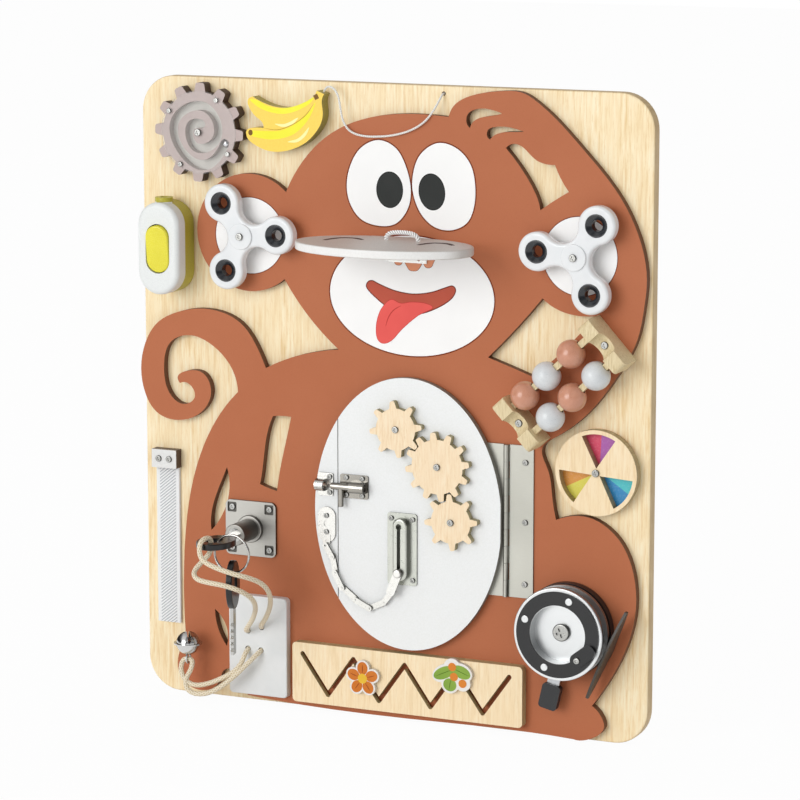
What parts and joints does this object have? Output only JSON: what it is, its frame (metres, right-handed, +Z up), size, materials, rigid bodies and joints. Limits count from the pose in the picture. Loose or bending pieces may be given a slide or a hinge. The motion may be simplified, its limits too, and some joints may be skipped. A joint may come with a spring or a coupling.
{
  "type": "wooden busy board",
  "caption": "Upright wooden activity board with a monkey-shaped panel and toys to turn, slide, lock, ring and open.",
  "frame": {"origin": "centre of the board's back face, on the wall", "axes": "+Z up, +X to the viewer's right, the toys face -Y"},
  "size_m": [0.3905, 0.0958, 0.45],
  "materials": {
    "board_wood": "clear satin lacquer",
    "panel_wood": "thin terracotta stain, satin",
    "switch_white": "smooth semi-gloss",
    "rocker_yellow": "gloss",
    "spinner_white": "gloss",
    "spinner_ring": "gloss",
    "spiral_wood": "thin grey-mauve stain, satin",
    "clear_cover": "clear polished acrylic",
    "ball_steel": "polished",
    "screw_steel": "bright plated",
    "banana_paint": "satin paint",
    "cord_braid": "braided cotton",
    "flap_wood": "white satin paint",
    "hinge_steel": "satin zinc",
    "handle_rope": "twisted cotton",
    "bead_frame_wood": "clear satin lacquer",
    "bead_brown": "gloss lacquer",
    "bead_white": "speckled, satin",
    "disc_print": "painted in coloured sectors, satin",
    "wheel_wood": "clear satin lacquer",
    "belly_paint": "white satin paint",
    "gear_wood": "bare, sanded",
    "bolt_steel": "bright plated",
    "chain_steel": "bright plated",
    "zigzag_wood": "clear satin lacquer",
    "flower_paint": "printed, satin",
    "sprig_paint": "printed, satin",
    "lock_nickel": "bright nickel",
    "key_steel": "bright nickel",
    "bow_black": "moulded, satin",
    "plate_white": "moulded, satin",
    "rope_braid": "braided",
    "bell_nickel": "bright nickel",
    "strap_web": "woven webbing",
    "clamp_white": "white face, dark edges",
    "reel_black": "black satin",
    "reel_silver": "turned, bright",
    "lever_silver": "satin"
  },
  "bodies": {
    "board": {"board": "board_wood", "monkey_panel": "panel_wood", "switch_shell": "switch_white", "colour_disc": "disc_print", "bead_frame": "bead_frame_wood", "belly_strip": "belly_paint", "hinge_panel_leaf": "hinge_steel", "strip_fittings": "bolt_steel", "zigzag_plate": "zigzag_wood", "lock_body": "lock_nickel", "cord_plate": "plate_white", "strap": "strap_web", "strap_clamp": "clamp_white", "reel_frame": "reel_black", "flap_bracket": "hinge_steel", "screws": "screw_steel", "banana_cord": "cord_braid", "rope_upper": "rope_braid", "rope_lower": "rope_braid", "bell": "bell_nickel"},
    "spiral": {"spiral_gear": "spiral_wood", "spiral_cover": "clear_cover", "spiral_ball": "ball_steel", "spiral_screws": "screw_steel"},
    "spinner_left": {"spinner_left": "spinner_white", "spinner_left_rings": "spinner_ring"},
    "spinner_right": {"spinner_right": "spinner_white", "spinner_right_rings": "spinner_ring"},
    "wheel": {"colour_wheel": "wheel_wood"},
    "rocker": {"rocker": "rocker_yellow"},
    "bananas": {"bananas": "banana_paint"},
    "flap": {"flap": "flap_wood", "flap_leaf": "hinge_steel", "flap_handle": "handle_rope"},
    "door": {"belly_door": "belly_paint", "hinge_door_leaf": "hinge_steel", "door_screws": "screw_steel", "bolt_plate": "bolt_steel", "door_chain": "chain_steel", "chain_track": "chain_steel"},
    "gear_1": {"gear_1": "gear_wood"},
    "gear_2": {"gear_2": "gear_wood"},
    "gear_3": {"gear_3": "gear_wood"},
    "bolt": {"bolt_rod": "bolt_steel"},
    "flower": {"token_flower": "flower_paint"},
    "sprig": {"token_sprig": "sprig_paint"},
    "key": {"key_blade": "key_steel", "key_bow": "bow_black", "key_ring": "key_steel"},
    "spare_key": {"spare_bow": "bow_black", "spare_blade": "key_steel"},
    "reel": {"reel_spool": "reel_silver", "reel_face": "bow_black"},
    "lever": {"reel_lever": "lever_silver"},
    "bead_1": {"bead_1": "bead_brown"},
    "bead_2": {"bead_2": "bead_white"},
    "bead_3": {"bead_3": "bead_brown"},
    "bead_4": {"bead_4": "bead_white"},
    "bead_5": {"bead_5": "bead_brown"},
    "bead_6": {"bead_6": "bead_white"}
  },
  "joints": [
    {"name": "spiral_spin", "type": "hinge", "parent": "board", "child": "spiral", "pos_m": [-0.1445, -0.015, 0.1865], "axis": [0, 1, 0], "continuous": true},
    {"name": "spinner_left_spin", "type": "hinge", "parent": "board", "child": "spinner_left", "pos_m": [-0.1065, -0.0265, 0.1155], "axis": [0, 1, 0], "continuous": true},
    {"name": "spinner_right_spin", "type": "hinge", "parent": "board", "child": "spinner_right", "pos_m": [0.1455, -0.0265, 0.1145], "axis": [0, 1, 0], "continuous": true},
    {"name": "wheel_spin", "type": "hinge", "parent": "board", "child": "wheel", "pos_m": [0.1582, -0.01465, -0.0343], "axis": [0, 1, 0], "continuous": true},
    {"name": "rocker_tilt", "type": "hinge", "parent": "board", "child": "rocker", "pos_m": [-0.17, -0.034, 0.104], "axis": [-1, 0, 0], "range_deg": [0, 12]},
    {"name": "banana_lift", "type": "slide", "parent": "board", "child": "bananas", "axis": [0, -1, 0], "range_m": [0, 0.008], "deforming": ["banana_cord"]},
    {"name": "flap_hinge", "type": "hinge", "parent": "board", "child": "flap", "pos_m": [0.016, -0.018, 0.1123], "axis": [1, 0, 0], "range_deg": [0, 88]},
    {"name": "door_hinge", "type": "hinge", "parent": "board", "child": "door", "pos_m": [0.092, -0.0182, -0.07325], "axis": [0, 0, 1], "range_deg": [0, 100]},
    {"name": "gear_1_spin", "type": "hinge", "parent": "door", "child": "gear_1", "pos_m": [0.0123, -0.0254, -0.01364], "axis": [0, 1, 0], "continuous": true},
    {"name": "gear_2_spin", "type": "hinge", "parent": "door", "child": "gear_2", "pos_m": [0.044, -0.0254, -0.0377], "axis": [0, 1, 0], "continuous": true},
    {"name": "gear_3_spin", "type": "hinge", "parent": "door", "child": "gear_3", "pos_m": [0.05443, -0.0254, -0.07611], "axis": [0, 1, 0], "continuous": true},
    {"name": "bolt_slide", "type": "slide", "parent": "door", "child": "bolt", "axis": [-1, 0, 0], "range_m": [0, 0.008]},
    {"name": "flower_slide", "type": "slide", "parent": "board", "child": "flower", "axis": [0.5812, 0, -0.8137], "range_m": [-0.0148, 0.019]},
    {"name": "sprig_slide", "type": "slide", "parent": "board", "child": "sprig", "axis": [0.5812, 0, 0.8137], "range_m": [-0.0305, 0.0031]},
    {"name": "key_turn", "type": "hinge", "parent": "board", "child": "key", "pos_m": [-0.1065, -0.054, -0.0965], "axis": [0, 1, 0], "range_deg": [0, 90], "deforming": ["rope_upper"]},
    {"name": "spare_key_swing", "type": "hinge", "parent": "key", "child": "spare_key", "pos_m": [-0.093, -0.0735, -0.1027], "axis": [0, 1, 0], "range_deg": [-90, 0]},
    {"name": "reel_spin", "type": "hinge", "parent": "board", "child": "reel", "pos_m": [0.1397, -0.032, -0.1445], "axis": [0, 1, 0], "continuous": true},
    {"name": "reel_lever_swing", "type": "hinge", "parent": "board", "child": "lever", "pos_m": [0.1397, -0.024, -0.1445], "axis": [0, -1, 0], "range_deg": [0, 25]},
    {"name": "bead_1_slide", "type": "slide", "parent": "board", "child": "bead_1", "axis": [0.7314, 0, 0.682], "range_m": [-0.0024, 0.0082]},
    {"name": "bead_2_slide", "type": "slide", "parent": "board", "child": "bead_2", "axis": [0.7314, 0, 0.682], "range_m": [-0.0012, 0.0024]},
    {"name": "bead_3_slide", "type": "slide", "parent": "board", "child": "bead_3", "axis": [0.7314, 0, 0.682], "range_m": [-0.0011, 0.0012]},
    {"name": "bead_4_slide", "type": "slide", "parent": "board", "child": "bead_4", "axis": [0.7314, 0, 0.682], "range_m": [-0.0021, 0.0042]},
    {"name": "bead_5_slide", "type": "slide", "parent": "board", "child": "bead_5", "axis": [0.7314, 0, 0.682], "range_m": [-0.0012, 0.0021]},
    {"name": "bead_6_slide", "type": "slide", "parent": "board", "child": "bead_6", "axis": [0.7314, 0, 0.682], "range_m": [-0.0057, 0.0012]}
  ],
  "couplings": [
    {"joint": "gear_1_spin", "follows": "gear_2_spin", "ratio": -1.5},
    {"joint": "gear_3_spin", "follows": "gear_2_spin", "ratio": -1.5},
    {"joint": "spare_key_swing", "follows": "key_turn", "ratio": -1}
  ]
}
